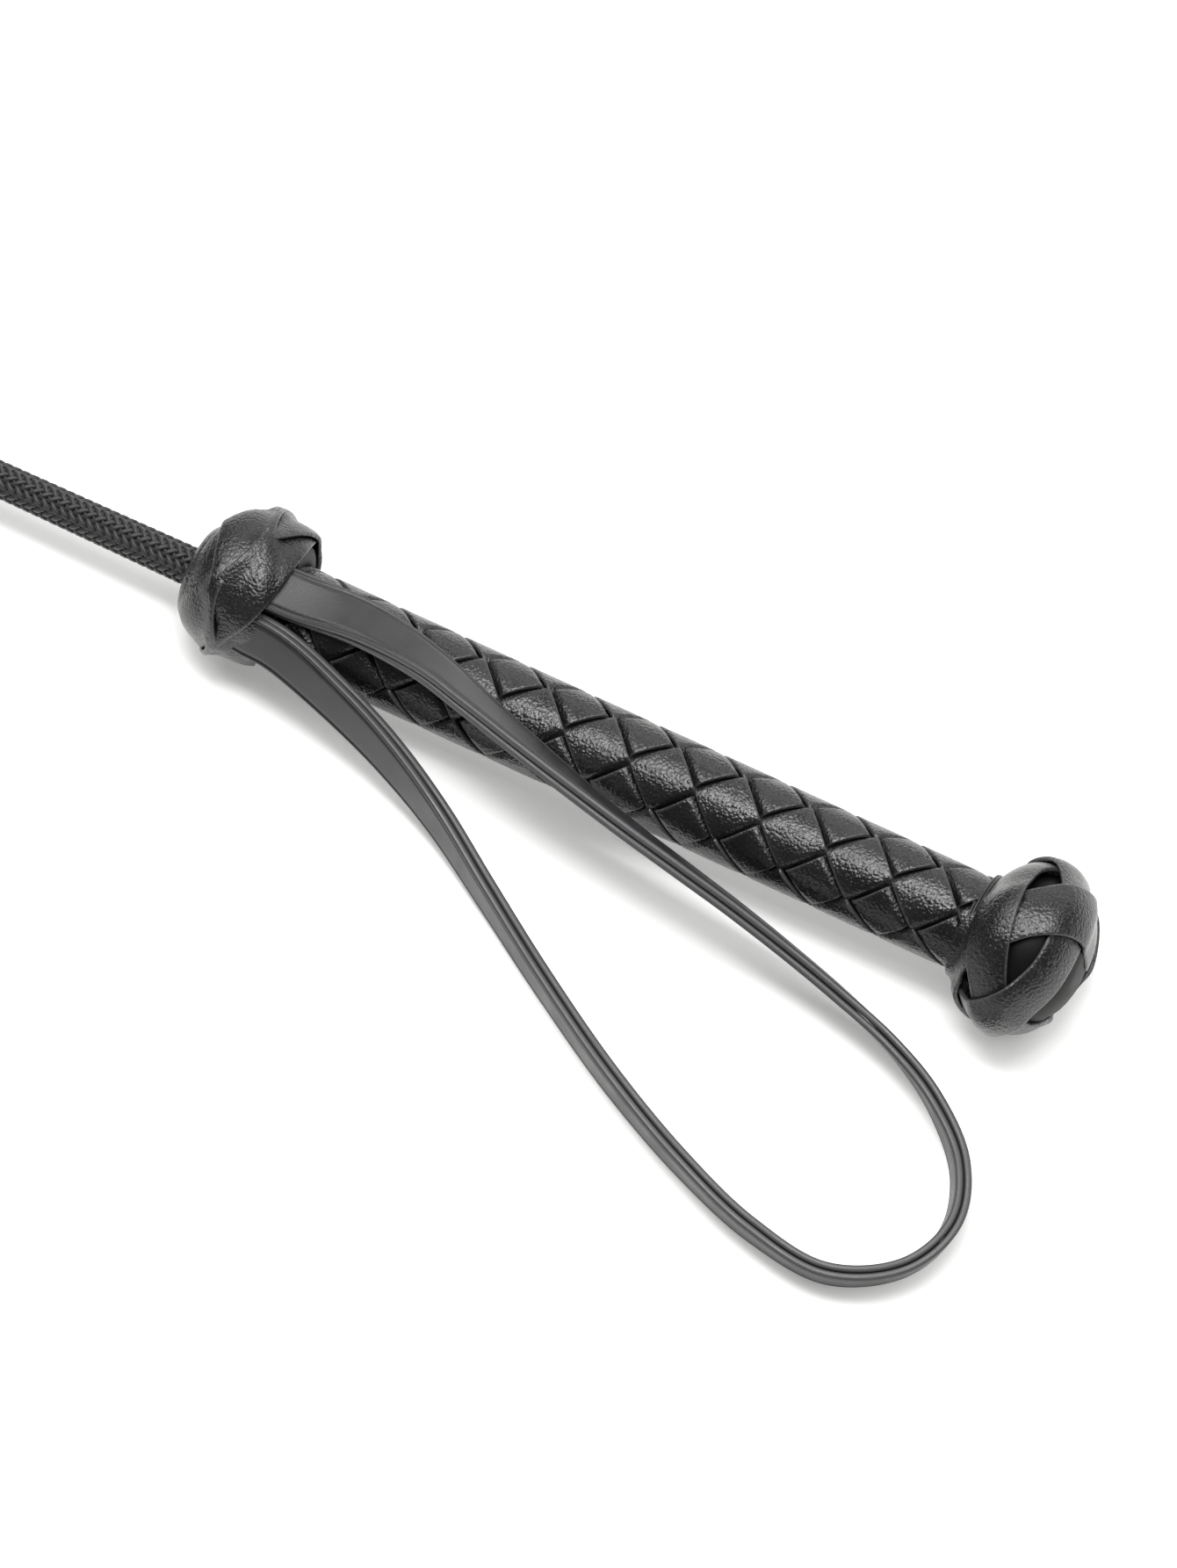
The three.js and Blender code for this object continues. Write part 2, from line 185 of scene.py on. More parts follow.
def braid_strand(hand, number, start, cross_start, braid, x_from, x_to, section, per_cell, jitter=0.0):
    """The rings of one strand of a tubular braid, whose two hands of helix cross in a lattice.

    start and cross_start are the angles in degrees of strand 0 of this hand and of the other, and
    per_cell is how many rings there are from one crossing to the next. In a braid, per_hand is the
    number of strands of each hand, lead is the length of one turn, over is how many strands each
    one passes over and under, wave is how far it rises and falls, dip is how much longer it stays
    under, and share is its width, as a part of the room that it has.
    """
    spacing = 360 / braid["per_hand"]
    rate = 360 / braid["lead"]
    own = start + spacing * number
    ends = sorted((own - hand * 2 * rate * x_from, own - hand * 2 * rate * x_to))
    cells = (ends[1] - ends[0]) / spacing
    cross = np.linspace(ends[0], ends[1], int(cells * per_cell) + 1)
    place = (cross - cross_start) / spacing
    phase = np.pi / braid["over"] * (place + number - (braid["over"] - 1) / 2)
    wave = weave(phase + (0 if hand > 0 else np.pi), braid["sharpness"], braid["dip"][hand])
    drift, swell = (
        jitter * np.interp(cross, np.linspace(*ends, places), random.uniform(-1, 1, places))
        for places in (DRIFT_PLACES, SWELL_PLACES)
    )
    swell = 1 + 2 * swell
    v, h = section[:, 0], section[:, 1]
    own_angle = own + (np.multiply.outer(swell, v) * braid["share"][hand] + drift[:, None]) * spacing
    angle = (own_angle + cross[:, None]) / 2
    x = hand * (own_angle - cross[:, None]) / (2 * rate)
    base = braid["radius"](x) + (wave * braid["wave"])[:, None]
    radius = base + (h - 0.5)[None, :] * braid["thickness"]
    return crop_points(x, radius, np.radians(angle))


def strip_places(rings, across):
    """For each point of a strip's rings, its place along and across the strip, in mm."""
    middle = rings.mean(axis=1) / MM
    along = np.concatenate([[0], np.cumsum(np.linalg.norm(np.diff(middle, axis=0), axis=1))])
    along, across = np.broadcast_arrays(along[:, None], across)
    return np.stack([along, across, np.zeros(along.shape)], axis=-1).reshape(-1, 3)


def join(solids):
    """Several (points, faces) as one."""
    points, faces, count = [], [], 0
    for p, f in solids:
        points.append(p)
        faces += [tuple(i + count for i in face) for face in f]
        count += len(p)
    return np.concatenate(points), faces


# ------------------------------------------------------------------ materials
def new_material(name):
    """A new material, its nodes, its links and its shader."""
    material = bpy.data.materials.new(name)
    material.use_nodes = True
    nodes, links = material.node_tree.nodes, material.node_tree.links
    return material, nodes, links, nodes["Principled BSDF"]


def node(nodes, kind, **values):
    """A new node, with its inputs or properties set by name."""
    made = nodes.new(kind)
    for key, value in values.items():
        if key in made.inputs:
            made.inputs[key].default_value = value
        else:
            setattr(made, key, value)
    return made


def ramp(nodes, stops):
    """A colour ramp from its stops, each a place and a colour."""
    made = nodes.new("ShaderNodeValToRGB")
    elements = made.color_ramp.elements
    while len(elements) < len(stops):
        elements.new(0.5)
    for element, (place, colour) in zip(elements, stops):
        element.position = place
        element.color = (*colour, 1)
    return made


def bump(nodes, links, height, strength, distance, below=None):
    """A bump node over the one below it. Its distance is in metres."""
    made = nodes.new("ShaderNodeBump")
    made.inputs["Strength"].default_value = strength
    made.inputs["Distance"].default_value = distance
    links.new(height, made.inputs["Height"])
    if below:
        links.new(below.outputs["Normal"], made.inputs["Normal"])
    return made


def leather(name, colour, edge_and_highlight_colour, rough, grain, crease, pebble_size=0.56):
    """Black leather: pebbled grain, soft creases, patches of polish, and paler cut edges with a
    painted highlight.

    grain and crease are strengths of relief, and pebble_size is in millimetres.
    """
    material, nodes, links, shader = new_material(name)
    where = nodes.new("ShaderNodeTexCoord").outputs["Object"]
    bend = node(nodes, "ShaderNodeTexNoise", Scale=1500.0, Detail=2.0, Roughness=0.5)
    links.new(where, bend.inputs["Vector"])
    pull = node(nodes, "ShaderNodeVectorMath", operation="SCALE")
    pull.inputs["Scale"].default_value = 0.0004  # pebbles are bent out of shape by this, in metres
    links.new(bend.outputs["Color"], pull.inputs[0])
    bent = node(nodes, "ShaderNodeVectorMath", operation="ADD")
    links.new(where, bent.inputs[0])
    links.new(pull.outputs["Vector"], bent.inputs[1])
    pebbles = node(nodes, "ShaderNodeTexVoronoi", Scale=1000 / pebble_size, Randomness=1.0)
    pebbles.feature = "SMOOTH_F1"
    links.new(bent.outputs["Vector"], pebbles.inputs["Vector"])
    fine = node(nodes, "ShaderNodeTexNoise", Scale=5200.0, Detail=3.0, Roughness=0.6)
    folds = node(nodes, "ShaderNodeTexNoise", Scale=900.0, Detail=5.0, Roughness=0.62, Distortion=1.5)
    patches = node(nodes, "ShaderNodeTexNoise", Scale=130.0, Detail=3.0, Roughness=0.5)
    for texture in (fine, folds, patches):
        links.new(where, texture.inputs["Vector"])
    # cut edges are painted paler: partly the raw edge's own tone, partly a painted highlight along the
    # edge
    cut_and_highlight = node(nodes, "ShaderNodeAttribute", attribute_name="cut_edge_and_highlight")
    tone = ramp(nodes, [(0.3, [c * 0.7 for c in colour]), (0.72, [c * 1.4 for c in colour])])
    links.new(patches.outputs["Fac"], tone.inputs["Fac"])
    pale_and_highlit = node(nodes, "ShaderNodeMix", data_type="RGBA")  # its colour sockets are 6, 7 and output 2
    pale_and_highlit.inputs[7].default_value = (*edge_and_highlight_colour, 1)
    links.new(cut_and_highlight.outputs["Fac"], pale_and_highlit.inputs[0])
    links.new(tone.outputs["Color"], pale_and_highlit.inputs[6])
    links.new(pale_and_highlit.outputs[2], shader.inputs["Base Color"])
    polish = node(nodes, "ShaderNodeMapRange")
    polish.inputs["From Min"].default_value = 0.3
    polish.inputs["From Max"].default_value = 0.7
    polish.inputs["To Min"].default_value = rough - 0.06
    polish.inputs["To Max"].default_value = rough + 0.08
    links.new(patches.outputs["Fac"], polish.inputs["Value"])
    links.new(polish.outputs["Result"], shader.inputs["Roughness"])
    strip = node(nodes, "ShaderNodeAttribute", attribute_name="strip_place")
    squeeze = node(nodes, "ShaderNodeMapping")
    squeeze.inputs["Scale"].default_value = (1.3, 0.33, 1)  # wrinkles lie across the strip
    links.new(strip.outputs["Vector"], squeeze.inputs["Vector"])
    wrinkles = node(nodes, "ShaderNodeTexNoise", Scale=1.0, Detail=4.0, Roughness=0.6, Distortion=0.8)
    links.new(squeeze.outputs["Vector"], wrinkles.inputs["Vector"])
    wrinkled = bump(nodes, links, wrinkles.outputs["Fac"], strength=crease, distance=0.0008)
    deep = bump(nodes, links, folds.outputs["Fac"], crease * 0.4, distance=0.0004, below=wrinkled)
    # A pebble is highest in its middle, where the Voronoi distance is least.
    grained = bump(nodes, links, pebbles.outputs["Distance"], grain, distance=-0.0002, below=deep)
    skin = bump(nodes, links, fine.outputs["Fac"], grain * 0.5, distance=0.00006, below=grained)
    links.new(skin.outputs["Normal"], shader.inputs["Normal"])
    shader.inputs["Specular IOR Level"].default_value = 0.6
    return material


def thread(name, colour, scale):
    """Twisted filament yarn with a low sheen."""
    material, nodes, links, shader = new_material(name)
    where = nodes.new("ShaderNodeTexCoord").outputs["Object"]
    hairs = node(nodes, "ShaderNodeTexNoise", Scale=scale, Detail=4.0, Roughness=0.7)
    patches = node(nodes, "ShaderNodeTexNoise", Scale=scale * 0.12, Detail=2.0, Roughness=0.5)
    links.new(where, hairs.inputs["Vector"])
    links.new(where, patches.inputs["Vector"])
    tone = ramp(nodes, [(0.3, [c * 0.6 for c in colour]), (0.7, [c * 1.6 for c in colour])])
    links.new(hairs.outputs["Fac"], tone.inputs["Fac"])
    links.new(tone.outputs["Color"], shader.inputs["Base Color"])
    rough = node(nodes, "ShaderNodeMapRange")
    rough.inputs["To Min"].default_value = 0.3
    rough.inputs["To Max"].default_value = 0.54
    links.new(patches.outputs["Fac"], rough.inputs["Value"])
    links.new(rough.outputs["Result"], shader.inputs["Roughness"])
    raised = bump(nodes, links, hairs.outputs["Fac"], strength=0.5, distance=0.0001)
    links.new(raised.outputs["Normal"], shader.inputs["Normal"])
    shader.inputs["Sheen Weight"].default_value = 0.1
    shader.inputs["Sheen Roughness"].default_value = 0.4
    return material


def streaked(name, dark, light, rough, scale, metal=0.0, specular=0.5):
    """A stiff material with faint streaks along the crop: rod, wood, filler or steel."""
    material, nodes, links, shader = new_material(name)
    where = nodes.new("ShaderNodeTexCoord").outputs["Object"]
    stretch = node(nodes, "ShaderNodeMapping")
    stretch.inputs["Scale"].default_value = (0.12, 1, 1)
    links.new(where, stretch.inputs["Vector"])
    streaks = node(nodes, "ShaderNodeTexNoise", Scale=scale, Detail=5.0, Roughness=0.6)
    links.new(stretch.outputs["Vector"], streaks.inputs["Vector"])
    tone = ramp(nodes, [(0.35, dark), (0.65, light)])
    links.new(streaks.outputs["Fac"], tone.inputs["Fac"])
    links.new(tone.outputs["Color"], shader.inputs["Base Color"])
    shine = node(nodes, "ShaderNodeMapRange")
    shine.inputs["To Min"].default_value = rough - 0.1
    shine.inputs["To Max"].default_value = rough + 0.1
    links.new(streaks.outputs["Fac"], shine.inputs["Value"])
    links.new(shine.outputs["Result"], shader.inputs["Roughness"])
    raised = bump(nodes, links, streaks.outputs["Fac"], strength=0.3, distance=0.0001)
    links.new(raised.outputs["Normal"], shader.inputs["Normal"])
    shader.inputs["Metallic"].default_value = metal
    shader.inputs["Specular IOR Level"].default_value = specular
    return material


# The third colour is for cut edges: partly the raw edge's own paler tone, partly a painted highlight.
BLACK, SOFT_BLACK, CUT_EDGE_AND_HIGHLIGHT = (0.006, 0.006, 0.0065), (0.016, 0.016, 0.0175), (0.06, 0.06, 0.062)
PLAIT = leather("plait_leather", BLACK, CUT_EDGE_AND_HIGHLIGHT, rough=0.26, grain=0.8, crease=0.12)
KNOT = leather("knot_leather", BLACK, CUT_EDGE_AND_HIGHLIGHT, rough=0.27, grain=0.75, crease=0.2)
STRAP = leather("strap_leather", SOFT_BLACK, CUT_EDGE_AND_HIGHLIGHT, rough=0.42, grain=0.12, crease=0.08, pebble_size=0.4)
LINING = leather("strap_lining", SOFT_BLACK, CUT_EDGE_AND_HIGHLIGHT, rough=0.46, grain=0.15, crease=0.1, pebble_size=0.4)
KEEPER = leather("keeper_leather", BLACK, CUT_EDGE_AND_HIGHLIGHT, rough=0.38, grain=0.6, crease=0.25)
BRAID = thread("braided_thread", (0.018, 0.018, 0.019), scale=9000.0)
WAXED = thread("waxed_thread", (0.014, 0.014, 0.015), scale=6000.0)
ROD = streaked("fibreglass", (0.5, 0.47, 0.38), (0.68, 0.65, 0.56), rough=0.35, scale=900.0)
FILLER = streaked("filler_rubber", (0.012, 0.012, 0.012), (0.02, 0.02, 0.02), rough=0.7, scale=700.0)
WOOD = streaked(
    "wood_block", (0.003, 0.003, 0.003), (0.006, 0.005, 0.005), rough=0.5, scale=300.0, specular=0.15
)
STEEL = streaked("steel", (0.45, 0.45, 0.46), (0.6, 0.6, 0.61), rough=0.35, scale=1200.0, metal=1.0)

# ------------------------------------------------------------------ camera, lights and table
CAMERA_AZIMUTH, CAMERA_ELEVATION = math.radians(27.4), math.radians(65)
CAMERA_DISTANCE = 2.4
FRAME_CENTRE = (67.6, -37.9)  # the middle of the frame from the middle of the collar, in mm
FRAME_HEIGHT = 308.8  # mm at the collar's distance
SENSOR = 36.0


def build_camera():
    ca, sa = math.cos(CAMERA_AZIMUTH), math.sin(CAMERA_AZIMUTH)
    ce, se = math.cos(CAMERA_ELEVATION), math.sin(CAMERA_ELEVATION)
    back = np.array([sa * ce, -ca * ce, se])
    right = np.array([ca, sa, 0])
    upward = np.cross(back, right)
    aim = COLLAR + (right * FRAME_CENTRE[0] + upward * FRAME_CENTRE[1]) * MM
    data = bpy.data.cameras.new("camera")
    data.sensor_width = SENSOR
    data.lens = SENSOR * CAMERA_DISTANCE / (FRAME_HEIGHT * MM)
    camera = bpy.data.objects.new("camera", data)
    camera.location = Vector(aim + back * CAMERA_DISTANCE)
    camera.rotation_mode = "QUATERNION"
    camera.rotation_quaternion = Vector(-back).to_track_quat("-Z", "Y")
    bpy.context.scene.collection.objects.link(camera)
    bpy.context.scene.camera = camera


KEY_POWER, SPARK_POWER, BACK_POWER = 25.0, 7.5, 10.0
ROOM_LIGHT = 0.14
TABLE_HALF, TABLE_GAP = 4.0, 0.0002  # in metres
TABLE_GLOW = 0.26  # the table is lit from below, as a product table is
LIT_FROM_COLLAR = 0.06  # the lights face a point this far along the grip, in metres


def softbox(name, target, elevation, distance, size, power):
    """A wide panel facing the target, at an elevation counted from the camera's side over the top."""
    data = bpy.data.lights.new(name, "AREA")
    data.shape = "RECTANGLE"
    data.size, data.size_y = size
    data.energy = power
    light = bpy.data.objects.new(name, data)
    up, level = math.sin(math.radians(elevation)), math.cos(math.radians(elevation))
    towards = np.array([0.0, -1.0, 0.0]) * level + np.array([0.0, 0.0, 1.0]) * up
    light.location = Vector(target + towards * distance)
    light.rotation_mode = "QUATERNION"
    light.rotation_quaternion = Vector(-towards).to_track_quat("-Z", "Y")
    bpy.context.scene.collection.objects.link(light)


def build_stage():
    half, z = TABLE_HALF, cad_box[0].z - TABLE_GAP
    white = streaked("table", (0.86, 0.86, 0.85), (0.9, 0.9, 0.885), rough=0.6, scale=6.0)
    glow = white.node_tree.nodes["Principled BSDF"].inputs
    glow["Emission Color"].default_value = (1, 1, 0.99, 1)
    glow["Emission Strength"].default_value = TABLE_GLOW
    corners = [(-half, -half, z), (half, -half, z), (half, half, z), (-half, half, z)]
    floor = mesh_piece("table_top", corners, [(0, 1, 2, 3)], white, body=None)
    centre = COLLAR + AXIS * LIT_FROM_COLLAR
    softbox("overhead", centre, elevation=97, distance=1.3, size=(2.6, 1.0), power=KEY_POWER)
    softbox("spark", centre, elevation=89, distance=1.2, size=(0.6, 0.22), power=SPARK_POWER)
    softbox("behind", centre, elevation=152, distance=1.5, size=(2.4, 0.7), power=BACK_POWER)
    world = bpy.data.worlds.new("studio")
    world.use_nodes = True
    background = world.node_tree.nodes["Background"]
    background.inputs["Color"].default_value = (1, 1, 0.99, 1)
    background.inputs["Strength"].default_value = ROOM_LIGHT
    bpy.context.scene.world = world
    bpy.context.scene.view_settings.view_transform = "Standard"


# ------------------------------------------------------------------ the plaited grip
GRIP = {
    "per_hand": 4,
    "lead": 57.3,
    "over": 1,
    "radius": lambda x: 8.6,
    "wave": 0.8,
    "sharpness": 6.0,
    "dip": {1: 0.19, -1: -0.1},
    "share": {1: 0.85, -1: 1.03},
    "thickness": 1.15,
}
RIGHT_START, LEFT_START = 65.0, 56.2
GRIP_FROM, GRIP_TO = 0.0, 164.0
GRIP_RINGS, GRIP_JITTER = 18, 0.01  # rings between crossings, and how unevenly strands lie
STRAND_WIDTH, STRAND_APART = 10, 30  # in the leather's own pattern, in mm


def build_plait():
    hands = {1: ("right", RIGHT_START, LEFT_START), -1: ("left", LEFT_START, RIGHT_START)}
    for hand, (word, start, cross_start) in hands.items():
        for number in range(GRIP["per_hand"]):
            rings = braid_strand(
                hand, number, start, cross_start, GRIP, GRIP_FROM, GRIP_TO,
                STRIP_SECTION, GRIP_RINGS, GRIP_JITTER,
            )
            points, faces = swept(rings)
            edge = np.tile(STRIP_SECTION[:, 2], len(rings))
            across = STRIP_SECTION[:, 0] * STRAND_WIDTH + STRAND_APART * number
            strip = strip_places(rings, across)
            name = f"plait_{word}_{number + 1}"
            piece = mesh_piece(name, points, faces, PLAIT, edge=edge, strip=strip)
            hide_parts(f"plait_strand_{word}_{number + 1}")


# ------------------------------------------------------------------ the braided shaft
SLEEVE_FROM, SLEEVE_TO = -404.0, -6.6
SLEEVE_THIN, SLEEVE_EXTRA = 5.0, 3.1  # its diameter far from the collar, and what it gains there
TAPER_START, TAPER_LENGTH = -11.0, 150.0
YARN_RINGS = 2  # between crossings


def sleeve_radius(x):
    from_collar = np.clip(TAPER_START - x, 0, None)
    return (SLEEVE_THIN + SLEEVE_EXTRA * np.exp(-from_collar / TAPER_LENGTH)) / 2


SHAFT = {
    "per_hand": 12,
    "lead": 24.0,
    "over": 2,
    "radius": lambda x: sleeve_radius(x) - 0.56,
    "wave": 0.26,
    "sharpness": 1.6,
    "dip": {1: 0.0, -1: 0.0},
    "share": {1: 0.88, -1: 0.88},
    "thickness": 0.72,
}


def build_shaft():
    solids = []
    for hand in (1, -1):
        for number in range(SHAFT["per_hand"]):
            rings = braid_strand(
                hand, number, 0.0, 0.0, SHAFT, SLEEVE_FROM, SLEEVE_TO, YARN_SECTION, YARN_RINGS
            )
            solids.append(swept(rings))
    points, faces = join(solids)
    braid = mesh_piece("shaft_braid", points, faces, BRAID)
    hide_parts("shaft_sleeve")


# ------------------------------------------------------------------ the two knots
# A knot is one strip tied as a Turk's head: it goes 3 times round while it swings from end to end
# of a rounded body "bights" times, over one crossing and under the next. Its turns are tied a
# little askew, so the whole strip is turned by "tilt" about the line towards tilt_towards, an
# angle round the crop from straight up.
KNOT_LEADS = 3
KNOT_STEPS = 540
OVER_AT = (1 / 6, 4 / 6)  # where it passes over another turn, in parts of a bight
CROSSING_REACH = 26  # steps each side of a crossing in which the two turns may overlap
EASE_REACH, EASE_BLUR, EASE_WINDOW = 2, 2.6, 9  # in steps
KNOT_REST_LEVEL, KNOT_GAP = 0.6, 0.38  # the level that keeps the body's radius, and air in mm
KNOT_STRAYS, KNOT_STRAY = 22, 0.05  # how often it strays sideways, and by what part of its width
KNOT_STRIP_WIDTH = 12  # in the leather's own pattern, in mm
KNOT_TILT_ALONG = 0.2  # how much the line that a knot is tilted about leans along the crop
NECK_SHARE, NECK_LEAST = 0.5, -0.4  # how much of its rise it keeps at the neck, and its least rise


def turned_about(vectors, axis, angle):
    """Vectors turned about an axis through the origin."""
    axis = axis / np.linalg.norm(axis)
    return (
        vectors * math.cos(angle)
        + np.cross(axis, vectors) * math.sin(angle)
        + np.multiply.outer(vectors @ axis, axis) * (1 - math.cos(angle))
    )


def crossings(bights):
    """The places (over, under) along the strip, from 0 to 1, where it crosses itself."""
    pairs = []
    for first in range(bights):
        for at in OVER_AT:
            over = (first + at) / bights
            for second in range(bights):
                under = (second + 1 - at) / bights
                laps = KNOT_LEADS * (over - under)
                if abs(laps - round(laps)) < 1e-6:
                    pairs.append((over, under))
    return pairs


def softened(levels):
    """Levels eased along the strip: it starts to rise before a turn that it lies over."""
    near = range(-EASE_REACH, EASE_REACH + 1)
    raised = np.max([np.roll(levels, k, axis=0) for k in near], axis=0)
    window = np.arange(-EASE_WINDOW, EASE_WINDOW + 1)
    blur = np.exp(-0.5 * (window / EASE_BLUR) ** 2)
    return sum(w * np.roll(raised, k, axis=0) for k, w in zip(window, blur / blur.sum()))


def turns_beneath(facing, line, beside, half, v, bights):
    """How many turns of the knot lie beneath each point of its strip.

    facing holds the directions of the strip's points, line and beside those of its middle and its
    side, half is half its width as an angle, and v the points' places across it.
    """
    window = np.arange(-CROSSING_REACH, CROSSING_REACH + 1)
    under = []
    for over_at, under_at in crossings(bights):
        own = (round(over_at * KNOT_STEPS) + window) % KNOT_STEPS
        other = (round(under_at * KNOT_STEPS) + window) % KNOT_STEPS
        near = np.einsum("imk,jk->imj", facing[own], line[other])
        found = other[near.argmax(axis=2)]
        covers = near.max(axis=2) > np.cos(half)
        across = np.einsum("imk,imk->im", facing[own], beside[found])
        place = np.arcsin(np.clip(across, -1, 1)) / half / 2
        column = np.abs(place[..., None] - v).argmin(axis=2)
        under.append((own, found, column, covers))
    levels = np.zeros(facing.shape[:2])
    for _ in range(2):
        below = levels
        levels = np.zeros(facing.shape[:2])
        for own, found, column, covers in under:
            levels[own] = np.maximum(levels[own], np.where(covers, 1 + below[found, column], 0))
    return softened(levels)


def knot_strip(name, knot, material, *replaced):
    """One closed strip on a rounded body. Directions are (along the axis, side, up).

    In a knot, powers say how square the body is towards -x and +x, neck is its least radius
    towards -x, reach and width are angles seen from its middle, spread crowds the turns together
    on one side, crown is how far the strip bulges and shift how far the knot is off the axis.
    """
    t = np.arange(KNOT_STEPS) / KNOT_STEPS
    phase = 2 * np.pi * knot["bights"] * t
    lap = math.radians(knot["turn"]) + 2 * np.pi * KNOT_LEADS * t
    lap = lap + knot["spread"] * np.sin(lap - math.radians(knot["spread_towards"]))
    high = math.radians(knot["reach"]) * np.cos(phase)
    line = np.stack([np.sin(high), np.cos(high) * np.sin(lap), np.cos(high) * np.cos(lap)], axis=1)
    ahead = np.roll(line, -1, axis=0) - np.roll(line, 1, axis=0)
    beside = np.cross(line, ahead)
    beside /= np.linalg.norm(beside, axis=1)[:, None]
    v, h, cut_and_highlight = STRIP_SECTION.T
    stray = random.uniform(-1, 1, KNOT_STRAYS)
    stray = np.interp(t, np.linspace(0, 1, KNOT_STRAYS + 1), np.append(stray, stray[0]))
    half = math.radians(knot["width"]) / 2
    turn = 2 * half * (v[None, :] + KNOT_STRAY * stray[:, None])
    facing = line[:, None] * np.cos(turn)[..., None] + beside[:, None] * np.sin(turn)[..., None]
    level = turns_beneath(facing, line, beside, half, v, knot["bights"])
    toward = math.radians(knot["tilt_towards"])
    tilt_axis = np.array([KNOT_TILT_ALONG, math.sin(toward), math.cos(toward)])
    facing = turned_about(facing, tilt_axis, math.radians(knot["tilt"]))
    along = facing[..., 0]
    power = np.where(along < 0, *knot["powers"])
    x = knot["half_length"] * along
    radius = knot["radius"] * (1 - np.abs(along) ** power) ** (1 / power)
    steep = np.abs(along) ** (power - 1) * np.sign(along) / knot["half_length"]
    flat = (radius / knot["radius"]) ** (power - 1) / knot["radius"]
    size = np.hypot(steep, flat)
    rise = (level - KNOT_REST_LEVEL) * (knot["thickness"] + KNOT_GAP)
    crown = knot["crown"] * (1 - (2 * v) ** 2)
    out = rise + (h - 0.5)[None, :] * knot["thickness"] + crown[None, :]
    x = x + steep / size * out
    radius = radius + flat / size * out
    neck = knot["neck"] + (out - rise) + np.maximum(rise, NECK_LEAST) * NECK_SHARE
    radius = np.where(along < 0, np.maximum(radius, neck), radius)
    angle = np.arctan2(facing[..., 1], facing[..., 2])
    place = crop_points(knot["x"] + x, radius, angle)
    shift = math.radians(knot["shift_towards"])
    place = place + (SIDE * math.sin(shift) + UP * math.cos(shift)) * knot["shift"] * MM
    points, faces = swept(place, closed=True)
    strip = strip_places(place, v * KNOT_STRIP_WIDTH)
    piece = mesh_piece(name, points, faces, material, edge=np.tile(cut_and_highlight, KNOT_STEPS), strip=strip)
    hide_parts(*replaced)


COLLAR_KNOT = {
    "x": 0.4, "half_length": 11.9, "radius": 14.1, "powers": (2.6, 5.0), "neck": 5.5,
    "bights": 4, "reach": 28.0, "width": 51.0, "turn": -13.0,
    "spread": 0.12, "spread_towards": 20.0,
    "crown": 0.1, "thickness": 0.95, "tilt": 8.0, "tilt_towards": 22.0,
    "shift": 2.1, "shift_towards": -30.0,
}
POMMEL_KNOT = {
    "x": POMMEL_X - 1.2, "half_length": 12.7, "radius": 17.55, "powers": (2.1, 2.1), "neck": 10.7,
    "bights": 4, "reach": 46.0, "width": 38.0, "turn": 27.0,
    "spread": 0.3, "spread_towards": 30.0,
    "crown": 0.15, "thickness": 1.05, "tilt": 20.0, "tilt_towards": 22.6,
    "shift": 0.0, "shift_towards": 0.0,
}

# ------------------------------------------------------------------ the whippings
THREAD_DIAMETER = 0.55
RINGS_PER_TURN = 40
THREAD_RING = np.arange(8) * np.pi / 4  # the corners of a thread's section, as angles


def wound_thread(name, replaced, x_from, x_to, radius, shift=0.0):
    """Thread wound in touching turns round the crop, shifted towards the strap's side."""
    diameter = THREAD_DIAMETER
    turns = (x_to - x_from - diameter) / diameter
    t = np.linspace(0, 1, int(turns * RINGS_PER_TURN))
    middle = x_from + diameter / 2 + t[:, None] * (x_to - x_from - diameter)
    x = middle + diameter / 2 * np.cos(THREAD_RING)
    out = radius + diameter / 2 * np.sin(THREAD_RING)
    rings = crop_points(x, out, 2 * np.pi * turns * t[:, None])
    rings = rings + (SIDE * math.sin(STRAP_SIDE) + UP * math.cos(STRAP_SIDE)) * shift * MM
    points, faces = swept(rings)
    piece = mesh_piece(name, points, faces, WAXED)
    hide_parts(replaced)


# ------------------------------------------------------------------ the wrist strap
# Its middle line: x, y, z and how far its top edge leans towards the inside of the loop, in
# degrees. The collar's middle is at (0, 0, COLLAR_AXIS_HEIGHT) here.
COLLAR_AXIS_HEIGHT = 14.6
STRAP_ROUTE = [
    (12.7, -1.5, 26.8, 97), (27.5, -1.3, 28.4, 78), (43, -4.0, 30.0, 55), (54, -7.0, 29.9, 46),
    (66.6, -10.2, 28.9, 39), (80, -13.1, 26.9, 32), (93, -15.3, 24.2, 28), (105.5, -16.7, 20.8, 26),
    (117.5, -17.8, 16.8, 24), (130, -19.4, 12.7, 22), (143, -21.8, 9.2, 20), (156.5, -25.6, 6.7, 15),
    (168.5, -32.0, 5.6, 6), (179, -42.2, 5.3, -4), (182.8, -54.0, 5.3, -12), (178.5, -65.6, 5.3, -16),
    (166, -73.4, 5.3, -14), (149, -72.0, 5.3, -9), (130.5, -65.8, 5.3, -5), (110, -56.2, 5.3, -2),
    (88.5, -43.8, 5.4, 0), (71, -33.0, 6.3, 3), (55, -23.6, 8.8, 9), (40, -17.2, 12.8, 17),
    (25, -13.0, 17.4, 24), (12.7, -10.7, 20.9, 29),
]
STRAP_ENDS = ((7, 97), (61, 29))  # each end's angle round the crop, and its lean, in degrees
TUCKED, TUCKED_RADIUS = (-5.0, 5.0), 11.5  # where each end lies under the collar, in x and radius
STRAP_STEPS = 420
THINNED_STEPS, THINNED = 14, 0.55  # each end gets thinner under the collar, to this part
LINING_WIDTH = 0.985  # of the face's width
LAYER = 1.56  # thickness of each of its two layers
STRAP_HALF = 5.0
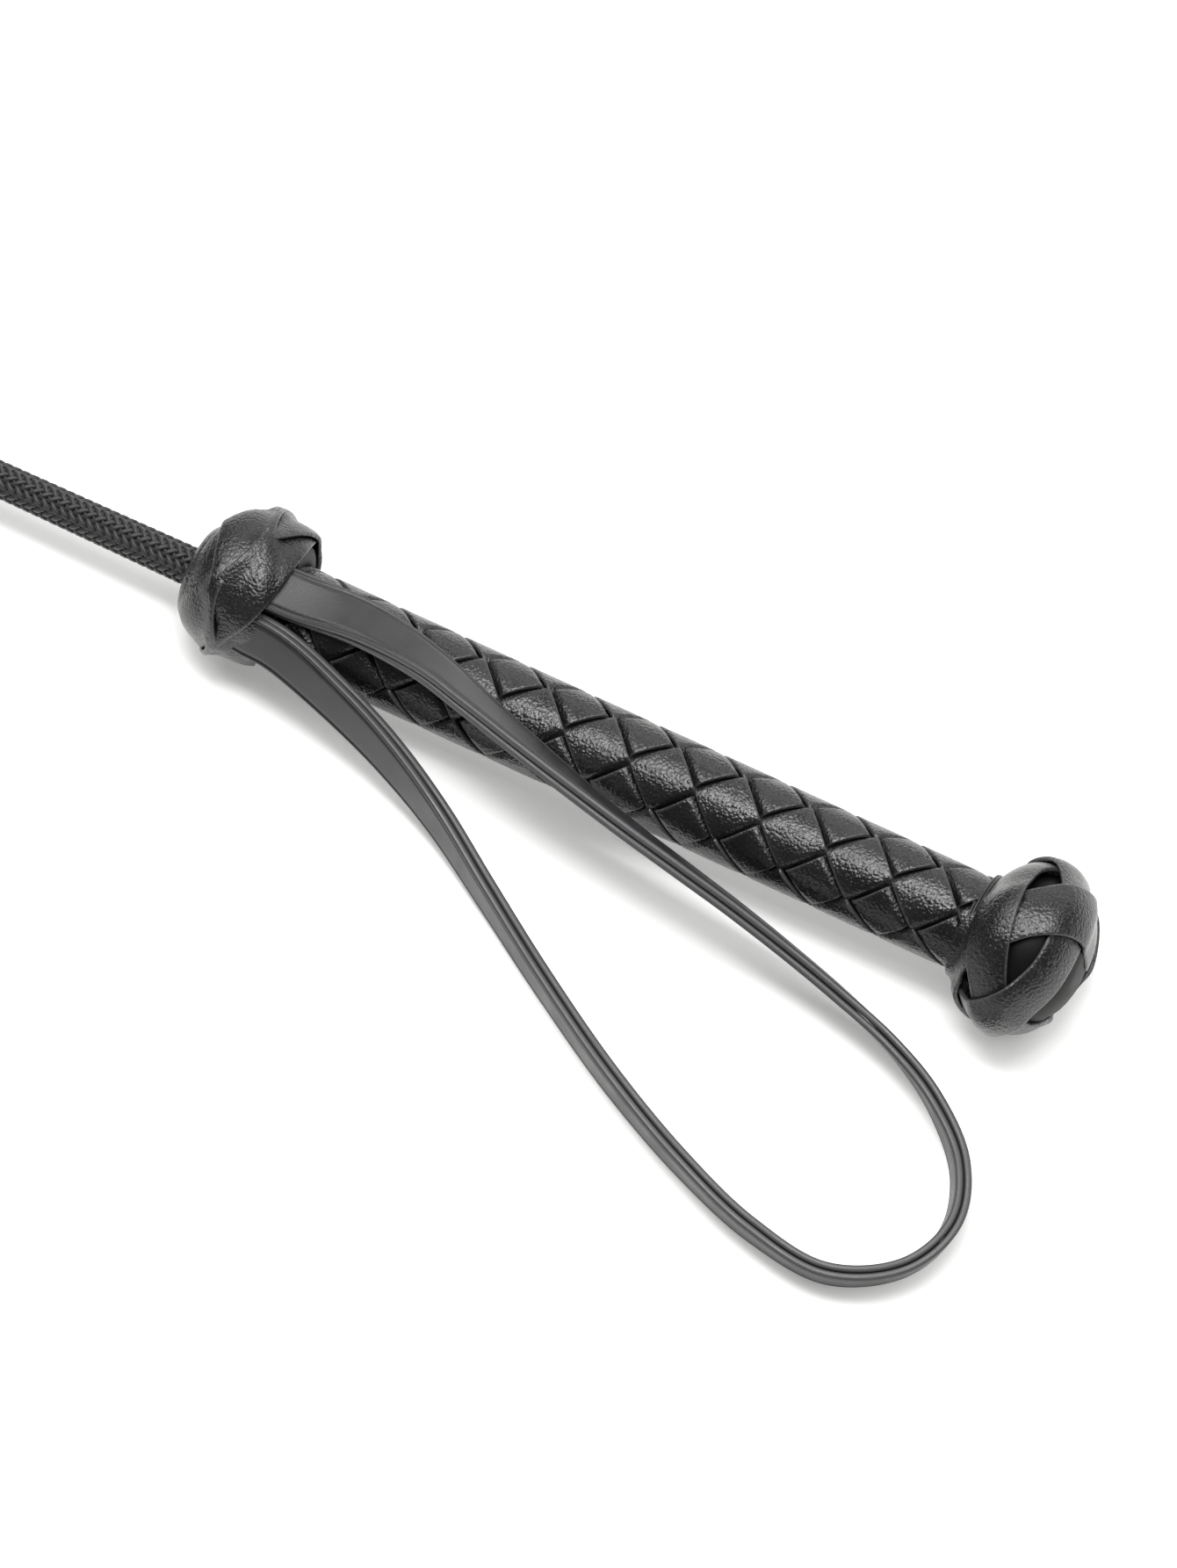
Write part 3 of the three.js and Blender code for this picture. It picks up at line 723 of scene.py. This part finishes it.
# One layer's cross-section: place across it in half widths, height in half thicknesses, and how
# much it is cut edge, painted paler with a painted highlight. A groove runs inside each edge of its
# outer skin.
STRAP_SECTION = np.array(
    [
        (-1.0, 0.0, 1), (-0.99, 0.5, 1), (-0.96, 0.86, 0.6), (-0.91, 1.01, 0), (-0.855, 1.0, 0),
        (-0.81, 0.58, 0), (-0.765, 0.96, 0), (-0.60, 1.02, 0), (-0.30, 1.04, 0), (0.0, 1.05, 0),
        (0.30, 1.04, 0), (0.60, 1.02, 0), (0.765, 0.96, 0), (0.81, 0.58, 0), (0.855, 1.0, 0),
        (0.91, 1.01, 0), (0.96, 0.86, 0.6), (0.99, 0.5, 1), (1.0, 0.0, 1), (0.985, -0.5, 1),
        (0.93, -0.9, 0.3), (0.60, -0.96, 0), (0.0, -0.96, 0), (-0.60, -0.96, 0), (-0.93, -0.9, 0.3),
        (-0.985, -0.5, 1),
    ]
)


def smooth_route(points, steps):
    """A centripetal Catmull-Rom curve through the points, with its other columns smoothed too."""
    points = np.array(points, float)
    ends = np.array([2 * points[0] - points[1], *points, 2 * points[-1] - points[-2]])
    gaps = np.linalg.norm(np.diff(ends[:, :3], axis=0), axis=1) ** 0.5
    knots = np.concatenate([[0], np.cumsum(gaps)])
    out = []
    for u in np.linspace(knots[1], knots[-2], steps):
        i = min(max(np.searchsorted(knots, u, side="right") - 1, 1), len(ends) - 3)
        k, q = knots[i - 1 : i + 3], ends[i - 1 : i + 3]
        a = [((k[j + 1] - u) * q[j] + (u - k[j]) * q[j + 1]) / (k[j + 1] - k[j]) for j in range(3)]
        b = [((k[j + 2] - u) * a[j] + (u - k[j]) * a[j + 1]) / (k[j + 2] - k[j]) for j in range(2)]
        out.append(((k[2] - u) * b[0] + (u - k[1]) * b[1]) / (k[2] - k[1]))
    return np.array(out)


def strap_frames():
    """The strap's stations: middle points in metres, and its across and face directions."""
    route = [list(p) for p in STRAP_ROUTE]
    ends = []
    for angle, lean in STRAP_ENDS:
        for x in TUCKED:
            at = (crop_points(x, TUCKED_RADIUS, math.radians(angle)) - COLLAR) / MM
            ends.append([*at[:2], at[2] + COLLAR_AXIS_HEIGHT, lean])
    route = [ends[0], ends[1], *route, ends[3], ends[2]]
    line = smooth_route(route, STRAP_STEPS)
    middle = COLLAR + (line[:, :3] - [0, 0, COLLAR_AXIS_HEIGHT]) * MM
    along = np.gradient(line[:, :3], axis=0)
    along /= np.linalg.norm(along, axis=1)[:, None]
    lean = np.radians(line[:, 3])[:, None]
    outward = np.cross([0, 0, 1], along)
    outward /= np.linalg.norm(outward, axis=1)[:, None]
    across = np.array([0, 0, 1]) * np.cos(lean) - outward * np.sin(lean)
    across -= along * np.einsum("ij,ij->i", across, along)[:, None]
    across /= np.linalg.norm(across, axis=1)[:, None]
    return middle, across, np.cross(across, along)


def build_strap():
    """The strap's two layers, each from one end under the collar round to the other."""
    middle, across, face = strap_frames()
    steps = np.arange(STRAP_STEPS)
    taper = np.clip(np.minimum(steps, steps[::-1]) / THINNED_STEPS, THINNED, 1)
    for name, side, material, cad in (
        ("wrist_strap_face", 1, STRAP, ("wrist_strap_outer", "strap_tab_upper")),
        ("wrist_strap_lining", -1, LINING, ("wrist_strap_inner", "strap_tab_lower")),
    ):
        wide = STRAP_SECTION[:, 0] * STRAP_HALF * (1 if side > 0 else LINING_WIDTH)
        height = STRAP_SECTION[:, 1] * LAYER / 2 * side
        depth = (side * LAYER / 2 + height)[None, :] * taper[:, None]
        rings = (
            middle[:, None]
            + across[:, None] * wide[None, :, None] * MM
            + face[:, None] * depth[:, :, None] * MM
        )
        points, faces = swept(rings)
        edge = np.tile(STRAP_SECTION[:, 2], STRAP_STEPS)
        piece = mesh_piece(name, points, faces, material, body=None, edge=edge)
        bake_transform(piece)
        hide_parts(*cad)


# ------------------------------------------------------------------ the keeper
# Two leaves of leather: each starts as half a tube round the rod, under the whipping, and opens
# out flat into a tongue with a round end. Lengths along it are counted from its hinge.
KEEPER_LENGTH, KEEPER_HALF, KEEPER_NECK_HALF = 48.0, 11.0, 4.5
KEEPER_UNDER_WHIPPING = 14.0
WIDENS_OVER = 20  # the tongue reaches its full width over this length
FLATTENS_FROM, FLATTENS_OVER = -2, 16  # where it opens out from a tube to a flat tongue
WRAP_RADIUS, WRAP_SUNK = 2.55, 0.9
LEAF_THICKNESS, LEAF_THIN, LEAF_GAP = 1.3, 0.75, 0.3  # it is thinner under the whipping
THICKENS_OVER = 10
NECK_RINGS, TONGUE_RINGS, END_RINGS = 15, 46, 22
LEAST_HALF = 0.4  # half its width where the round end stops
STITCH_INSET, STITCH_LENGTH, STITCH_PITCH = 2.1, 2.5, 3.4
STITCH_ROW_FROM, FIRST_STITCH = 6, 0.4
STITCH_RADIUS, STITCH_RISE, STITCH_SUNK = 0.3, 0.3, 0.22
STITCH_RINGS, STITCH_ROW_STEPS = 7, 120


def eased(t):
    t = np.clip(t, 0, 1)
    return t * t * (3 - 2 * t)


def keeper_half_width(s):
    """Half the leaf's width at a length s from the hinge."""
    opening = KEEPER_NECK_HALF + (KEEPER_HALF - KEEPER_NECK_HALF) * eased(s / WIDENS_OVER)
    past = np.clip(s - (KEEPER_LENGTH - KEEPER_HALF), 0, KEEPER_HALF)
    return np.minimum(opening, np.sqrt(KEEPER_HALF**2 - past**2))


def keeper_point(s, w, height, side):
    """A point of a leaf: s along it, w across it along its skin, height above its inner skin."""
    s, w, height = np.broadcast_arrays(s, w, height)
    flat = eased((s - FLATTENS_FROM) / FLATTENS_OVER)
    bend = np.maximum((1 - flat) / WRAP_RADIUS, 1e-5)
    inner = (WRAP_RADIUS - WRAP_SUNK) * (1 - flat) + LEAF_GAP / 2 * flat
    turn = w * bend
    across = (1 / bend + height) * np.sin(turn)
    up = (1 / bend + height) * np.cos(turn) - 1 / bend + inner
    x = KEEPER_START_X - s
    return (
        COLLAR
        + np.multiply.outer(x * MM, AXIS)
        + np.multiply.outer(across * MM, SIDE)
        + np.multiply.outer(up * side * MM, UP)
    )


def bend_at_keeper(piece):
    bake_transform(piece)


def build_keeper():
    straight = KEEPER_LENGTH - KEEPER_HALF
    neck = np.linspace(-KEEPER_UNDER_WHIPPING, 0, NECK_RINGS)
    tongue = np.linspace(0, straight, TONGUE_RINGS)[1:]
    end = straight + KEEPER_HALF * np.sin(np.linspace(0, np.pi / 2, END_RINGS))[1:]
    s = np.concatenate([neck, tongue, end])
    half = np.maximum(keeper_half_width(np.maximum(s, 0)), LEAST_HALF)
    thick_part = eased((s - FLATTENS_FROM) / THICKENS_OVER)
    thickness = LEAF_THIN + (LEAF_THICKNESS - LEAF_THIN) * thick_part
    v, h, cut_and_highlight = STRIP_SECTION.T
    for word, side in (("upper", 1), ("lower", -1)):
        w = half[:, None] * 2 * v
        height = thickness[:, None] * h
        points, faces = swept(keeper_point(s[:, None], w, height, side))
        name = f"keeper_tongue_{word}"
        edge = np.tile(cut_and_highlight, len(s))
        piece = mesh_piece(name, points, faces, KEEPER, body=None, edge=edge)
        bend_at_keeper(piece)
        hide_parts(f"keeper_leaf_{word}")
    build_stitching()


def build_stitching():
    """One row of stitches inside the keeper's edge, on both of its faces."""
    straight = KEEPER_LENGTH - KEEPER_HALF
    t = np.linspace(STITCH_ROW_FROM, straight, STITCH_ROW_STEPS)
    arc = np.linspace(0, np.pi, STITCH_ROW_STEPS)[1:-1]
    inset = KEEPER_HALF - STITCH_INSET
    edge = np.stack([t, keeper_half_width(t) - STITCH_INSET], axis=1)
    end = np.stack([straight + inset * np.sin(arc), inset * np.cos(arc)], axis=1)
    back = edge[::-1] * [1, -1]
    route = np.concatenate([edge, end, back])
    run = np.concatenate([[0], np.cumsum(np.linalg.norm(np.diff(route, axis=0), axis=1))])
    part = np.linspace(0, 1, STITCH_RINGS)  # of a stitch's length
    rise = STITCH_RISE * np.sin((0.05 + 0.9 * part) * np.pi) ** 0.6
    thick = STITCH_RADIUS * (0.55 + 0.45 * np.sin(part * np.pi) ** 0.5)
    off = thick[:, None] * np.cos(THREAD_RING)
    lift = LEAF_THICKNESS - STITCH_SUNK + rise[:, None] + thick[:, None] * 0.7 * np.sin(THREAD_RING)
    solids = []
    for first in np.arange(FIRST_STITCH, run[-1] - STITCH_LENGTH, STITCH_PITCH):
        where = first + STITCH_LENGTH * part
        s, w = np.interp(where, run, route[:, 0]), np.interp(where, run, route[:, 1])
        ahead = np.gradient(np.stack([s, w], axis=1), axis=0)
        ahead /= np.linalg.norm(ahead, axis=1)[:, None]
        beside = ahead[:, ::-1] * [-1, 1]
        s, w = s[:, None] + beside[:, :1] * off, w[:, None] + beside[:, 1:] * off
        for side in (1, -1):
            solids.append(swept(keeper_point(s, w, lift, side)))
    points, faces = join(solids)
    piece = mesh_piece("keeper_stitching", points, faces, WAXED, body=None)
    bend_at_keeper(piece)


# ------------------------------------------------------------------ what shows between the strips
CORE_SIDES, BLOCK_RINGS, CUFF_RINGS, FILLING_RINGS = 64, 44, 16, 90
BLOCK_HALF, BLOCK_RADIUS, BLOCK_SPAN = 11, 15.2, (-60, 72)  # its part of an oval, in degrees
# The cuff closes the collar towards the shaft. Each pair is an x and a radius.
CUFF_FOOT, CUFF_BACK, CUFF_CENTRE, CUFF_CURVE = (-10.6, 4.4), (-6.3, 10.6), (-6.5, 7.9), (4.1, 3)
FILLING_FROM, FILLING_TO = 92.0, 335.0  # in degrees, on the side where the strap isn't
FILLING_INNER, FILLING_RADIUS, FILLING_LEAST = 10.05, 11.9, 0.15
FILLING_SECTION = np.array(  # x, and the height in parts of its depth
    [
        (9.6, 0.0), (9.6, 0.4), (9.4, 0.72), (9.0, 0.92), (8.2, 1.0), (6.5, 1.0), (4.6, 1.0),
        (4.6, 0.6), (4.6, 0.0), (6.5, 0.0), (8.2, 0.0), (9.0, 0.0),
    ]
)


def turned_core(name, outline, material, replaced):
    """A smooth round core about the crop's axis, from (x, radius) points."""
    x, radius = np.array(outline, float).T
    around = np.arange(CORE_SIDES) * 2 * np.pi / CORE_SIDES
    points, faces = swept(crop_points(x[:, None], radius[:, None], around[None, :]))
    piece = mesh_piece(name, points, faces, material)
    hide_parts(replaced)


def build_cores():
    turn = np.radians(np.linspace(*BLOCK_SPAN, BLOCK_RINGS))
    block = list(zip(POMMEL_X + BLOCK_HALF * np.sin(turn), BLOCK_RADIUS * np.cos(turn)))
    turned_core("pommel_block", block, WOOD, "pommel_core")
    turn = np.linspace(0, np.pi / 2, CUFF_RINGS)
    shoulder = CUFF_CENTRE + CUFF_CURVE * np.stack([-np.cos(turn), np.sin(turn)], axis=1)
    cuff = [CUFF_FOOT, *shoulder, CUFF_BACK]
    turned_core("collar_cuff", cuff, KNOT, "collar_build_up")


def build_collar_filling():
    """The filling inside the collar's open end, round the grip where the strap isn't."""
    around = np.radians(np.linspace(FILLING_FROM, FILLING_TO, FILLING_RINGS))
    away = around - math.radians(COLLAR_KNOT["shift_towards"])
    shift = COLLAR_KNOT["shift"]
    outer = shift * np.cos(away) + np.sqrt(FILLING_RADIUS**2 - (shift * np.sin(away)) ** 2)
    depth = np.maximum(outer - FILLING_INNER, FILLING_LEAST)
    x, height = FILLING_SECTION.T
    rings = crop_points(x[None, :], FILLING_INNER + depth[:, None] * height[None, :], around[:, None])
    points, faces = swept(rings)
    piece = mesh_piece("collar_filling", points, faces, FILLER)


CAD_LEFT_SHOWING = {
    "core_rod": ROD,
    "handle_core": FILLER,
    "pommel_tack": STEEL,
    "keeper_root": KEEPER,
}


def finish_cad_nodes():
    """The CAD nodes that no piece replaces get their materials."""
    for name, material in CAD_LEFT_SHOWING.items():
        for slot in frame["nodes"][name].material_slots:
            slot.material = material


build_camera()
build_stage()
build_plait()
build_shaft()
knot_strip("collar_turks_head", COLLAR_KNOT, KNOT, "collar_knot")
knot_strip("pommel_turks_head", POMMEL_KNOT, KNOT, "pommel_knot")
build_cores()
build_collar_filling()
build_keeper()
wound_thread("keeper_whipping", "keeper_binding", x_from=-418, x_to=-404.4, radius=3.35)
wound_thread("pommel_whipping", "pommel_binding", x_from=160.4, x_to=163.6, radius=10.7)
wound_thread("collar_whipping", "collar_binding", x_from=-3, x_to=3, radius=12.4, shift=1.2)
build_strap()
finish_cad_nodes()
